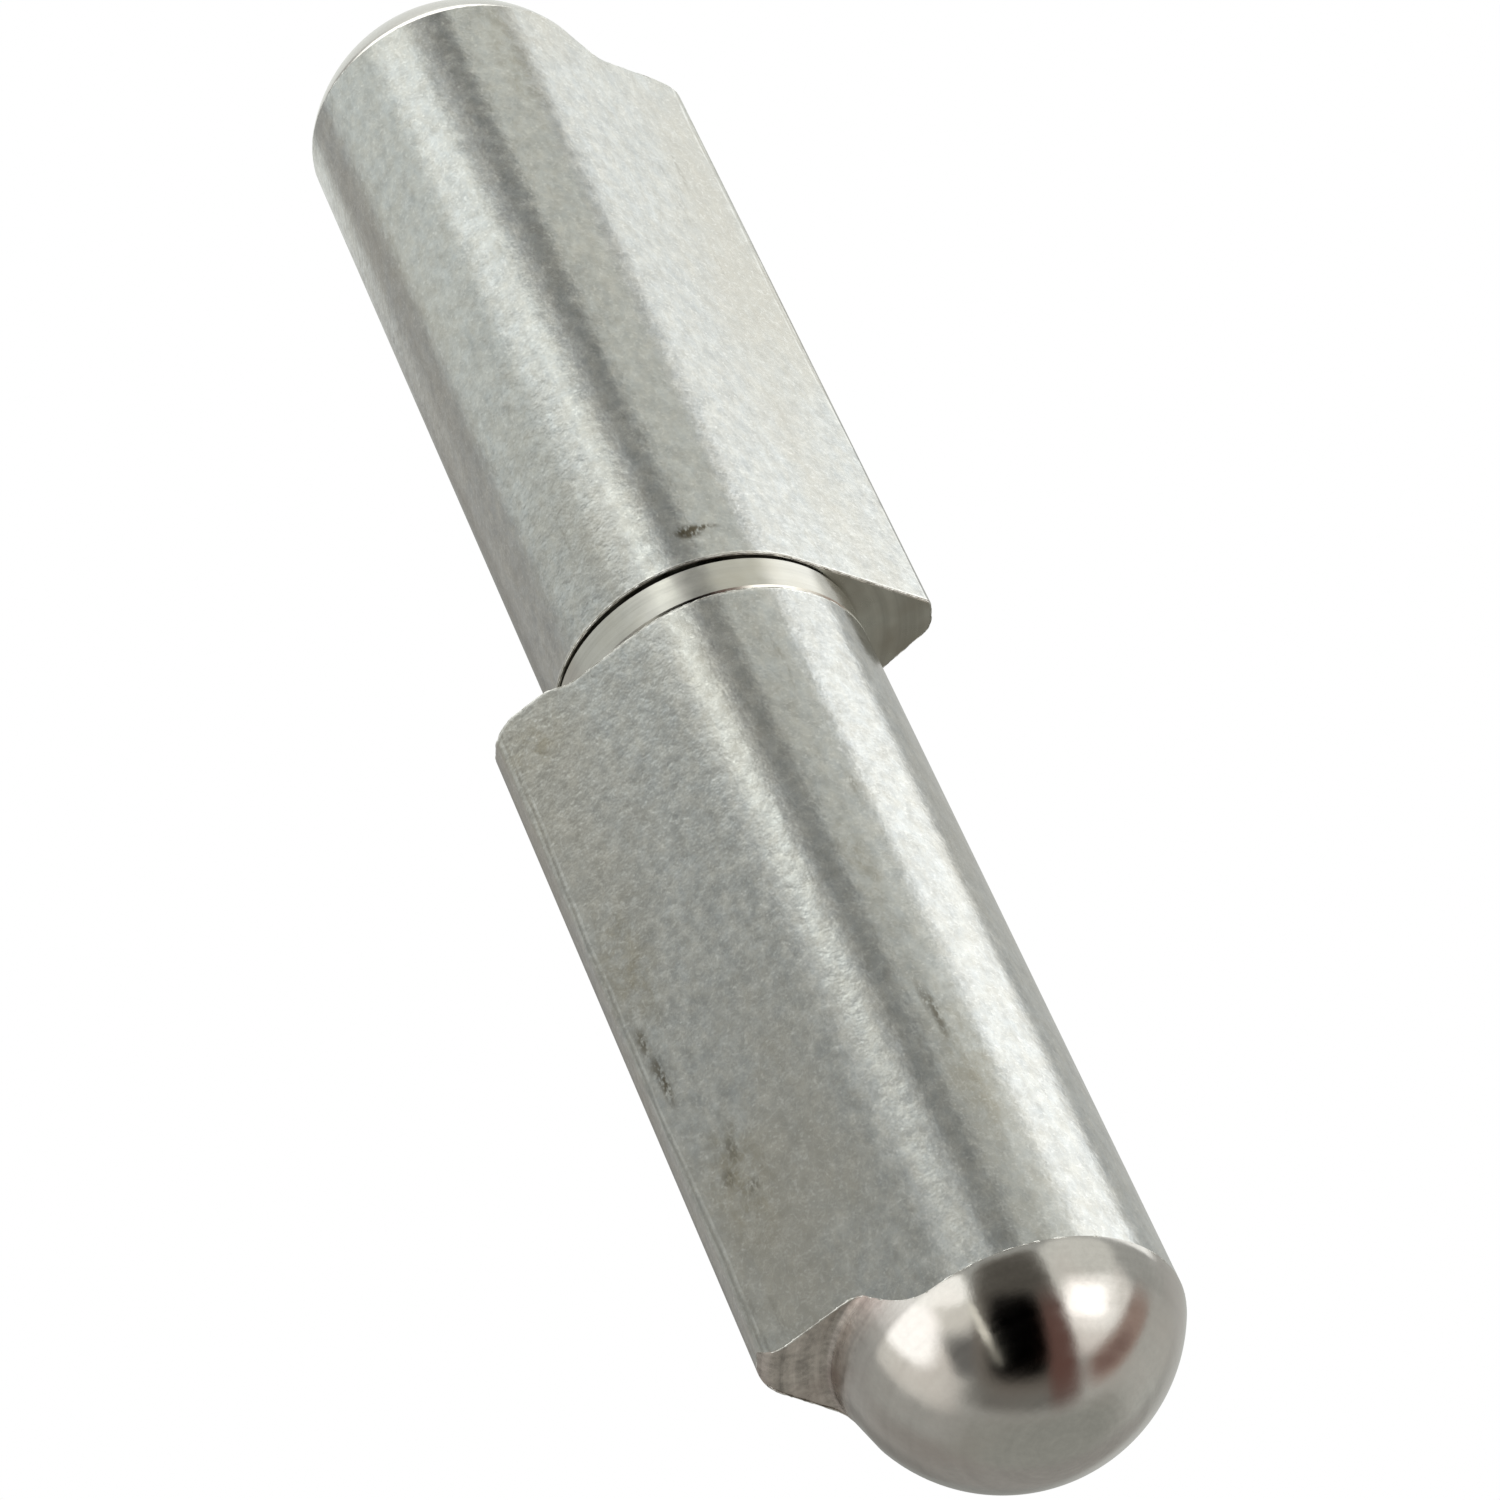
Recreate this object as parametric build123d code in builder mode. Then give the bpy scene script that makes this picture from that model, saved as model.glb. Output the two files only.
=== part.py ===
from build123d import *
from math import cos, radians, sin, tan
import os

# Weld-on barrel hinge, 15.9 mm (5/8 in) barrel, 101.6 mm (4 in) long over both domes.
# Two leaves are cut from the same drawn bar, whose section is a round barrel with a fin.
# The lower leaf carries a pressed-in pin, and the upper leaf lifts off that pin.
# Origin: on the pin axis, halfway between the two joint faces. +Z runs up the pin.
# The lower leaf's fin points to -X. The upper leaf's fin points to +X, turned by rest_swing.

# Drawn bar
barrel_diameter = 15.9
flank_half_angle = 37.8  # lean of each flank towards the fin's centre line, degrees
fin_tip_width = 1.75  # flank to flank across the fin's tip, before its corners are rounded
tip_show_radius = 0.6  # crisp corner of the tip, on the -Y side
tip_weld_radius = 1.3  # fuller corner of the tip, on the +Y side

# Turned outer end of each leaf
leaf_length = 49.55  # joint face to the crown of the dome
dome_height = 5.35
dome_edge_inset = 0.06  # how far the dome's edge lies inside the barrel's surface
neck_length = 2.55  # dome's edge to the shoulder across the fin
neck_flare = 0.66  # how far the neck stands outside the barrel's surface at the shoulder
neck_root_radius = 0.5
fin_end_radius = 1.0  # rounding where the shoulder meets the fin's tip
fin_end_turn = 75  # how far that rounding turns before it runs out past the tip, degrees

# Joint end of each leaf
face_edge_break = 0.1

# Pin
pin_diameter = 9.5
pin_press_depth = 21.0  # length held in the lower leaf
pin_engagement = 22.0  # length inside the upper leaf
pin_lead_in = 0.9

# Bores
running_clearance = 0.06  # on the radius, upper leaf over the pin
bore_mouth_chamfer = 0.5
drill_point_angle = 118.0

# Thrust washer
washer_thickness = 2.25
washer_bore_clearance = 0.1  # on the radius, over the pin
washer_edge_break = 0.15
axial_play = 0.25  # washer to the upper leaf, whose bore end stands on the pin

# Rest position
rest_swing = -4.3  # turn of the upper leaf about +Z, from fins exactly opposite, degrees

# Worked out from the sizes above
barrel_radius = barrel_diameter / 2
pin_radius = pin_diameter / 2
flank_sin = sin(radians(flank_half_angle))
flank_cos = cos(radians(flank_half_angle))
flank_tan = tan(radians(flank_half_angle))
tip_reach = barrel_radius / flank_sin - fin_tip_width / 2 / flank_tan
dome_edge_height = leaf_length - dome_height
shoulder_height = dome_edge_height - neck_length
drill_point_height = pin_radius / tan(radians(drill_point_angle / 2))
joint_gap = washer_thickness + axial_play
lower_face_z = -joint_gap / 2
upper_face_z = joint_gap / 2

# A leaf stands on its joint face: x points along its fin, z to its dome.
# The lower leaf is the same blank as the upper one, turned end for end.
upper_fin = (cos(radians(rest_swing)), sin(radians(rest_swing)), 0)
upper_face = Plane(origin=(0, 0, upper_face_z), x_dir=upper_fin, z_dir=(0, 0, 1))
lower_face = Plane(origin=(0, 0, lower_face_z), x_dir=(-1, 0, 0), z_dir=(0, 0, -1))


def axial_plane(face):
    # Plane through the pin axis, with x along the fin and y towards the dome.
    return Plane(origin=face.origin, x_dir=face.x_dir, z_dir=-face.y_dir)


def bar_section(face):
    # Teardrop: an arc round the barrel, two flanks tangent to it and a narrow tip.
    tangent_x = barrel_radius * flank_sin
    tangent_y = barrel_radius * flank_cos
    with BuildSketch(face) as section:
        with BuildLine():
            ThreePointArc((tangent_x, tangent_y), (-barrel_radius, 0), (tangent_x, -tangent_y))
            Polyline(
                (tangent_x, -tangent_y),
                (tip_reach, -fin_tip_width / 2),
                (tip_reach, fin_tip_width / 2),
                (tangent_x, tangent_y),
            )
        make_face()
        show_corner = section.vertices().group_by(Axis.X)[-1].sort_by(Axis.Y)[0]
        fillet(show_corner, radius=tip_show_radius)
        weld_corner = section.vertices().group_by(Axis.X)[-1].sort_by(Axis.Y)[-1]
        fillet(weld_corner, radius=tip_weld_radius)
    return section.sketch


def turned_section(face):
    # Half section of what the lathe leaves: dome, flared neck and a shoulder across the fin,
    # rounded over at the fin's tip.
    round_start = tip_reach - fin_end_radius * sin(radians(fin_end_turn))
    neck_foot = (barrel_radius - dome_edge_inset, dome_edge_height)
    neck_root = (barrel_radius + neck_flare, shoulder_height)
    dome_radius = (neck_foot[0] ** 2 + dome_height**2) / (2 * dome_height)
    with BuildSketch(axial_plane(face)) as section:
        with BuildLine():
            RadiusArc((0, leaf_length), neck_foot, dome_radius)
            FilletPolyline(
                neck_foot, neck_root, (round_start, shoulder_height), radius=neck_root_radius
            )
            fin_end = JernArc(
                start=(round_start, shoulder_height),
                tangent=(1, 0),
                radius=fin_end_radius,
                arc_size=-fin_end_turn,
            )
            runout = PolarLine(fin_end @ 1, 2 * fin_tip_width, direction=fin_end % 1)
            beyond_tip = (runout @ 1).X
            Polyline(runout @ 1, (beyond_tip, 0), (0, 0), (0, leaf_length))
        make_face()
    return section.sketch


def bore_section(face, radius, depth, point_height):
    # Half section of a blind bore with a chamfered mouth. The bore is full width down to
    # depth, and a cone of point_height lies beyond that.
    mouth_radius = radius + bore_mouth_chamfer
    with BuildSketch(axial_plane(face)) as section:
        with BuildLine():
            Polyline(
                (0, 0),
                (mouth_radius, 0),
                (radius, bore_mouth_chamfer),
                (radius, depth),
                (0, depth + point_height),
                close=True,
            )
        make_face()
    return section.sketch


# Upper leaf: running bore with a flat end, which stands on the end of the pin.
with BuildPart() as upper_leaf:
    upper_axis = Axis(upper_face.origin, upper_face.z_dir)
    extrude(bar_section(upper_face), amount=leaf_length)
    revolve(turned_section(upper_face), axis=upper_axis, mode=Mode.INTERSECT)
    chamfer(upper_leaf.faces().sort_by(Axis.Z)[0].edges(), length=face_edge_break)
    revolve(
        bore_section(upper_face, pin_radius + running_clearance, pin_engagement, 0),
        axis=upper_axis,
        mode=Mode.SUBTRACT,
    )

# Lower leaf: press bore, left with the cone of the drill beyond the pin.
with BuildPart() as lower_leaf:
    lower_axis = Axis(lower_face.origin, lower_face.z_dir)
    extrude(bar_section(lower_face), amount=leaf_length)
    revolve(turned_section(lower_face), axis=lower_axis, mode=Mode.INTERSECT)
    chamfer(lower_leaf.faces().sort_by(Axis.Z)[-1].edges(), length=face_edge_break)
    revolve(
        bore_section(lower_face, pin_radius, pin_press_depth, drill_point_height),
        axis=lower_axis,
        mode=Mode.SUBTRACT,
    )

# Pin: from the end of the full-width bore below to the flat end of the bore above.
with BuildPart() as hinge_pin:
    pin_length = pin_press_depth + joint_gap + pin_engagement
    with BuildSketch(Plane.XY.offset(lower_face_z - pin_press_depth)):
        Circle(pin_radius)
    extrude(amount=pin_length)
    chamfer(hinge_pin.edges(), length=pin_lead_in)

# Washer: a turned ring, loose on the pin, lying on the lower leaf.
with BuildPart() as washer:
    with BuildSketch(Plane.XY.offset(lower_face_z)):
        Circle(barrel_radius)
        Circle(pin_radius + washer_bore_clearance, mode=Mode.SUBTRACT)
    extrude(amount=washer_thickness)
    chamfer(washer.edges(), length=washer_edge_break)

upper_leaf.part.label = "upper_leaf"
lower_leaf.part.label = "lower_leaf"
hinge_pin.part.label = "hinge_pin"
washer.part.label = "washer"

os.makedirs("parts", exist_ok=True)
export_step(upper_leaf.part, "parts/upper_leaf.step")
export_step(lower_leaf.part, "parts/lower_leaf.step")
export_step(hinge_pin.part, "parts/hinge_pin.step")
export_step(washer.part, "parts/washer.step")
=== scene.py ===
import bpy
import bmesh
from math import acos, asin, atan2, cos, pi, radians, sin, sqrt, tan
from mathutils import Matrix, Vector


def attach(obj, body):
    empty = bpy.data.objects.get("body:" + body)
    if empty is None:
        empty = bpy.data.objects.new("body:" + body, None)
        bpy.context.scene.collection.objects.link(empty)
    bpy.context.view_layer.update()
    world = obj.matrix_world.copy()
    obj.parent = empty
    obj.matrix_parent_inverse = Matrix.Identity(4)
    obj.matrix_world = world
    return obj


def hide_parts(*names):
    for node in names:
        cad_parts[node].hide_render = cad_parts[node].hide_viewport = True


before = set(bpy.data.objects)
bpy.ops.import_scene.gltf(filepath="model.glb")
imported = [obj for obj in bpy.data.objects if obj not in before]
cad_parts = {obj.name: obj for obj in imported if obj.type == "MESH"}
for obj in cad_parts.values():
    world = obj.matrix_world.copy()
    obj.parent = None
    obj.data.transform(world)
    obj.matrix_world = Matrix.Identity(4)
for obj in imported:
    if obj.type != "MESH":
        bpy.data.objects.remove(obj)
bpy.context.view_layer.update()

mm = 0.001


# Both leaves are one blank: drawn teardrop bar, blind bore, outer end turned on a lathe.
leafShape = dict(
    barrelRadius=7.95, flankAngle=37.8, tipWidth=1.75, showRadius=0.6, weldRadius=1.3,
    length=49.55, domeHeight=5.35, domeEdgeInset=0.06, neckLength=2.55, neckFlare=0.66,
    neckRoot=0.5, finEndRadius=1.0, finEndTurn=75, faceBreak=0.1, mouthBreak=0.5,
    jointGap=2.5, restSwing=-4.3,
    seatRadius=8.15, seatMargin=0.12, lowerProud=0.6, proudFrom=8.0, proudTo=9.3, proudRound=1.1,
    barrelColumns=150, flankColumns=22, cornerColumns=12, tipColumns=3, domeRows=44, neckRows=8,
    rootRows=9, shoulderRows=8, finEndRows=14, runoutRows=7, runoutStep=0.3, barRows=30, faceRows=7,
    creaseAngle=3,
)
pinShape = dict(
    radius=4.75, pressed=21.0, engaged=22.0, leadIn=0.9, runningGap=0.06, drillAngle=118.0, segments=128,
)


def outlinePoints(s):
    # teardrop outline as (x, y, nx, ny), anticlockwise from the tip's +Y corner round to its -Y one
    r, w, beta = s["barrelRadius"], s["tipWidth"], radians(s["flankAngle"])
    reach = r / sin(beta) - w / 2 / tan(beta)
    turn = pi / 2 - beta  # between a flank's normal and the tip's normal
    points = []

    def cornerCentre(radius, side):
        back = radius * tan((pi / 2 - beta) / 2)
        return reach - radius, side * (w / 2 - back)

    def arc(cx, cy, radius, a0, a1, count):
        for i in range(count + 1):
            a = a0 + (a1 - a0) * i / count
            points.append((cx + radius * cos(a), cy + radius * sin(a), cos(a), sin(a)))

    def line(x1, y1, count):
        x0, y0, nx, ny = points[-1]
        for i in range(1, count):
            t = i / count
            points.append((x0 + (x1 - x0) * t, y0 + (y1 - y0) * t, nx, ny))

    showR, weldR = s["showRadius"], s["weldRadius"]
    showX, showY = cornerCentre(showR, -1)
    weldX, weldY = cornerCentre(weldR, 1)
    arc(weldX, weldY, weldR, 0, turn, s["cornerColumns"])
    line(r * cos(turn), r * sin(turn), s["flankColumns"])
    arc(0, 0, r, turn, 2 * pi - turn, s["barrelColumns"])
    line(showX + showR * cos(-turn), showY + showR * sin(-turn), s["flankColumns"])
    arc(showX, showY, showR, -turn, 0, s["cornerColumns"])
    line(points[0][0], points[0][1], s["tipColumns"])
    return points, reach


def turnedProfile(s, reach):
    # what the lathe leaves, from the crown outwards, as runs of (radius, height)
    edgeR = s["barrelRadius"] - s["domeEdgeInset"]
    edgeZ = s["length"] - s["domeHeight"]
    domeR = (edgeR ** 2 + s["domeHeight"] ** 2) / (2 * s["domeHeight"])
    rootR, shoulder = s["barrelRadius"] + s["neckFlare"], edgeZ - s["neckLength"]
    full = asin(edgeR / domeR)
    dome = []
    for i in range(1, s["domeRows"] + 1):
        a = full * i / s["domeRows"]
        dome.append((domeR * sin(a), s["length"] - domeR * (1 - cos(a))))
    # fillet between the neck's cone and the shoulder
    nx, nz = rootR - edgeR, shoulder - edgeZ
    slant = sqrt(nx * nx + nz * nz)
    nx, nz = nx / slant, nz / slant
    inner = acos(-nx)  # angle between the way back up the neck and the way out along the shoulder
    tangent = s["neckRoot"] / tan(inner / 2)
    filletR, filletZ = rootR - nx * tangent, shoulder - nz * tangent
    cx, cz = rootR + tangent, shoulder + s["neckRoot"]
    a0 = atan2(filletZ - cz, filletR - cx)
    a0 = a0 if a0 < 0 else a0 - 2 * pi
    a1 = -pi / 2
    neck, root = [], []
    for i in range(1, s["neckRows"] + 1):
        t = i / s["neckRows"]
        neck.append((edgeR + (filletR - edgeR) * t, edgeZ + (filletZ - edgeZ) * t))
    for i in range(1, s["rootRows"] + 1):
        a = a0 + (a1 - a0) * i / s["rootRows"]
        root.append((cx + s["neckRoot"] * cos(a), cz + s["neckRoot"] * sin(a)))
    # the shoulder rounds over at the fin's tip, then runs out past it
    rounding, turn = s["finEndRadius"], radians(s["finEndTurn"])
    start = reach - rounding * sin(turn)
    flat = [(cx + (start - cx) * i / s["shoulderRows"], shoulder) for i in range(1, s["shoulderRows"] + 1)]
    over, out = [], []
    for i in range(1, s["finEndRows"] + 1):
        a = turn * i / s["finEndRows"]
        over.append((start + rounding * sin(a), shoulder - rounding * (1 - cos(a))))
    for i in range(1, s["runoutRows"] + 1):
        step = i * s["runoutStep"]
        out.append((over[-1][0] + step * cos(turn), over[-1][1] - step * sin(turn)))
    return [dome, neck, root, flat, over, out]


def cutProfile(runs, reachHere):
    # the profile clipped where the bar's surface is nearer the axis; rows past the cut stay on it
    rows, cut, last = [], None, (0.0, runs[0][0][1])
    for run in runs:
        for point in run:
            if cut is None and point[0] > reachHere:
                t = (reachHere - last[0]) / (point[0] - last[0])
                cut = (reachHere, last[1] + (point[1] - last[1]) * t)
            rows.append(point if cut is None else cut)
            last = point
    return rows, cut


def endLift(s, reach, proud, x):
    # facing stops outside the ring's seat, so a fin's sawn end can stand proud of it, rounded at the tip
    t = min(max((x - s["proudFrom"]) / (s["proudTo"] - s["proudFrom"]), 0), 1)
    over = 0
    if proud:
        over = min(max(x - (reach - s["proudRound"]), 0), 0.9 * s["proudRound"])  # stops short of upright
    return -proud * t * t * (3 - 2 * t) + s["proudRound"] - sqrt(max(s["proudRound"] ** 2 - over ** 2, 0))


def placeOnLeaf(s, flipped, x, y, z):
    # a leaf's own frame has x along the fin and z from the joint face to the dome
    z = z + s["jointGap"] / 2
    if flipped:
        return Vector((-x * mm, y * mm, -z * mm))
    swing = radians(s["restSwing"])
    return Vector(((x * cos(swing) - y * sin(swing)) * mm, (x * sin(swing) + y * cos(swing)) * mm, z * mm))


def buildLeaf(name, s, flipped, boreRadius, boreDepth, pointHeight, proud):
    outline, reach = outlinePoints(s)
    runs = turnedProfile(s, reach)
    bm = bmesh.new()
    edgeTag = bm.verts.layers.int.new("edge")
    columnTag = bm.verts.layers.int.new("column")

    def place(x, y, z):
        return placeOnLeaf(s, flipped, x, y, z)

    # one column for each point of the outline: rows of (x, y, z, edge number), where 0 is no edge
    count, chamfer = len(outline), s["faceBreak"]
    columns, lifts = [], []
    for x, y, nx, ny in outline:
        phi = atan2(y, x)
        rows, cut = cutProfile(runs, sqrt(x * x + y * y))
        turned = [(r * cos(phi), r * sin(phi), z, 0) for r, z in rows]
        turned[-1] = (*turned[-1][:3], 1)  # the last turned row is the cut itself
        lift = endLift(s, reach, proud, x)
        lifts.append(lift)
        barEnd = chamfer + lift
        bar = [(x, y, cut[1] + (barEnd - cut[1]) * i / s["barRows"], 0) for i in range(1, s["barRows"])]
        bar.append((x, y, barEnd, 2))
        face = [(x - nx * chamfer, y - ny * chamfer, lift, 3)]
        faceRho = sqrt(face[0][0] ** 2 + face[0][1] ** 2)
        seat = min(s["seatRadius"], faceRho - s["seatMargin"])
        for i in range(1, s["faceRows"]):
            radius = faceRho + (seat - faceRho) * i / s["faceRows"]
            across = radius * cos(phi)
            face.append((across, radius * sin(phi), endLift(s, reach, proud, across), 0))
        face.append((seat * cos(phi), seat * sin(phi), 0.0, 0))
        inside = []
        for radius, z, edge in ((boreRadius + s["mouthBreak"], 0.0, 4), (boreRadius, s["mouthBreak"], 5),
                                (boreRadius, boreDepth, 6)):
            inside.append((radius * cos(phi), radius * sin(phi), z, edge))
        columns.append(turned + bar + face + inside)
    crown = bm.verts.new(place(0, 0, s["length"]))
    boreEnd = bm.verts.new(place(0, 0, boreDepth + pointHeight))
    grid = []
    for j, rows in enumerate(columns):
        column = []
        for x, y, z, edge in rows:
            v = bm.verts.new(place(x, y, z))
            v[edgeTag], v[columnTag] = edge, j
            column.append(v)
        grid.append(column)
    # finishes: 0 drawn bar, 1 turned end, 2 faced joint end, 3 bore
    turnedTo = len(turned) - 1
    barTo = turnedTo + len(bar)
    faceTo = barTo + len(face) + 1
    for j in range(count):
        a, b = grid[j], grid[(j + 1) % count]
        faces = [(bm.faces.new((crown, a[0], b[0])), 1)]
        for i in range(len(a) - 1):
            kind = 1 if i < turnedTo else 0 if i < barTo else 2 if i < faceTo else 3
            faces.append((bm.faces.new((a[i], a[i + 1], b[i + 1], b[i])), kind))
        faces.append((bm.faces.new((a[-1], boreEnd, b[-1])), 3))
        for f, kind in faces:
            f.material_index = kind
            f.smooth = True
    bmesh.ops.remove_doubles(bm, verts=bm.verts, dist=2e-7)
    bmesh.ops.dissolve_degenerate(bm, edges=bm.edges, dist=1e-7)
    bmesh.ops.recalc_face_normals(bm, faces=bm.faces)
    for e in bm.edges:
        if len(e.link_faces) == 2:
            kinds = {f.material_index for f in e.link_faces}
            tags = {v[edgeTag] for v in e.verts}
            alongEdge = len(tags) == 1 and 0 not in tags
            if len(kinds) > 1 or (alongEdge and e.calc_face_angle(0) > radians(s["creaseAngle"])):
                e.smooth = False
    # u runs round the section from the tip's +Y corner, v along the bar from the joint, both in mm
    wrap = bm.loops.layers.uv.new("barWrap")
    girth = [0.0]
    for i in range(1, count + 1):
        x0, y0 = outline[i - 1][:2]
        x1, y1 = outline[i % count][:2]
        girth.append(girth[-1] + sqrt((x1 - x0) ** 2 + (y1 - y0) ** 2))
    for f in bm.faces:
        crossesSeam = max(loop.vert[columnTag] for loop in f.loops) > count // 2
        for loop in f.loops:
            i = loop.vert[columnTag]
            high = abs(loop.vert.co.z) / mm - lifts[i]
            if i == 0 and crossesSeam:
                i = count
            loop[wrap].uv = (girth[i], high)
    mesh = bpy.data.meshes.new(name)
    bm.to_mesh(mesh)
    bm.free()
    leaf = bpy.data.objects.new(name, mesh)
    bpy.context.scene.collection.objects.link(leaf)
    return leaf


pinRadius = pinShape["radius"]
drillPoint = pinRadius / tan(radians(pinShape["drillAngle"] / 2))
upperLeaf = buildLeaf(
    "upperLeafSkin", leafShape, False, pinRadius + pinShape["runningGap"], pinShape["engaged"], 0.0, 0.0)
lowerLeaf = buildLeaf(
    "lowerLeafSkin", leafShape, True, pinRadius, pinShape["pressed"], drillPoint, leafShape["lowerProud"])
print("leaves:", len(upperLeaf.data.polygons), "faces each")


# Ring and pin are turned from a half section of (radius, height) corners; runs between them are straight.
def turnPiece(name, section, segments, creaseAngle=radians(20)):
    bm = bmesh.new()
    rings = []
    for r, z in section:
        row = []
        for k in range(segments if r > 0 else 1):
            a = 2 * pi * k / segments
            row.append(bm.verts.new((r * cos(a) * mm, r * sin(a) * mm, z * mm)))
        rings.append(row)
    for a, b in zip(rings, rings[1:] + ([] if len(rings[0]) == 1 else rings[:1])):
        for k in range(segments):
            m = (k + 1) % segments
            if len(a) == 1:
                bm.faces.new((a[0], b[k], b[m]))
            elif len(b) == 1:
                bm.faces.new((a[k], b[0], a[m]))
            else:
                bm.faces.new((a[k], b[k], b[m], a[m]))
    bmesh.ops.recalc_face_normals(bm, faces=bm.faces)
    for f in bm.faces:
        f.smooth = True
    for e in bm.edges:
        if e.calc_face_angle(0) > creaseAngle:
            e.smooth = False
    mesh = bpy.data.meshes.new(name)
    bm.to_mesh(mesh)
    bm.free()
    piece = bpy.data.objects.new(name, mesh)
    bpy.context.scene.collection.objects.link(piece)
    return piece


ringShape = dict(thickness=2.25, boreGap=0.1, edgeBreak=0.15, segments=192)
lowerFace = -leafShape["jointGap"] / 2
ringInner, ringOuter = pinRadius + ringShape["boreGap"], leafShape["barrelRadius"]
ringTop, ringBreak = lowerFace + ringShape["thickness"], ringShape["edgeBreak"]
ring = turnPiece("thrustRingSkin", [
    (ringInner, lowerFace + ringBreak), (ringInner, ringTop - ringBreak), (ringInner + ringBreak, ringTop),
    (ringOuter - ringBreak, ringTop), (ringOuter, ringTop - ringBreak), (ringOuter, lowerFace + ringBreak),
    (ringOuter - ringBreak, lowerFace), (ringInner + ringBreak, lowerFace)], ringShape["segments"])
pinFoot, pinTop = lowerFace - pinShape["pressed"], -lowerFace + pinShape["engaged"]
leadIn = pinShape["leadIn"]
pin = turnPiece("hingePinSkin", [
    (0, pinFoot), (pinRadius - leadIn, pinFoot), (pinRadius, pinFoot + leadIn),
    (pinRadius, pinTop - leadIn), (pinRadius - leadIn, pinTop), (0, pinTop)], pinShape["segments"])
print("ring and pin turned")


# Steel finishes. In each, sizes and heights are in metres, and scales are repeats to the metre.
def newMetal(name, roughness):
    material = bpy.data.materials.new(name)
    material.use_nodes = True
    nodes, links = material.node_tree.nodes, material.node_tree.links
    shader = nodes["Principled BSDF"]
    shader.inputs["Metallic"].default_value = 1.0
    shader.inputs["Roughness"].default_value = roughness
    place = nodes.new("ShaderNodeTexCoord")
    return material, nodes, links, shader, place.outputs["Object"]


def noise(nodes, links, vector, scale, detail, roughness, stretch=(1, 1, 1), offset=(0, 0, 0)):
    mapping = nodes.new("ShaderNodeMapping")
    mapping.inputs["Scale"].default_value = stretch
    mapping.inputs["Location"].default_value = offset
    texture = nodes.new("ShaderNodeTexNoise")
    texture.inputs["Scale"].default_value = scale
    texture.inputs["Detail"].default_value = detail
    texture.inputs["Roughness"].default_value = roughness
    links.new(vector, mapping.inputs["Vector"])
    links.new(mapping.outputs["Vector"], texture.inputs["Vector"])
    return texture.outputs["Fac"]


def ramp(nodes, links, value, stops):
    node = nodes.new("ShaderNodeValToRGB")
    elements = node.color_ramp.elements
    while len(elements) < len(stops):
        elements.new(0.5)
    for element, (position, colour) in zip(elements, stops):
        element.position = position
        element.color = (*colour, 1)
    links.new(value, node.inputs["Fac"])
    return node.outputs["Color"]


def grey(v):
    return (v, v, v)


def fade(nodes, links, value, *stops):
    # ramp of greys, each stop a (place, lightness)
    return ramp(nodes, links, value, [(place, grey(lightness)) for place, lightness in stops])


def mix(nodes, links, factor, a, b, blend="MIX"):
    node = nodes.new("ShaderNodeMix")
    node.data_type = "RGBA"
    node.blend_type = blend
    for value, socket in ((factor, node.inputs[0]), (a, node.inputs[6]), (b, node.inputs[7])):
        if hasattr(value, "is_output"):
            links.new(value, socket)
        elif isinstance(value, tuple):
            socket.default_value = (*value, 1)
        else:
            socket.default_value = value
    return node.outputs[2]


def sumUp(nodes, links, terms):
    total = None
    for value, weight in terms:
        node = nodes.new("ShaderNodeMath")
        node.operation = "MULTIPLY_ADD"
        links.new(value, node.inputs[0])
        node.inputs[1].default_value = weight
        if total is not None:
            links.new(total, node.inputs[2])
        else:
            node.inputs[2].default_value = 0.0
        total = node.outputs[0]
    return total


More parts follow.
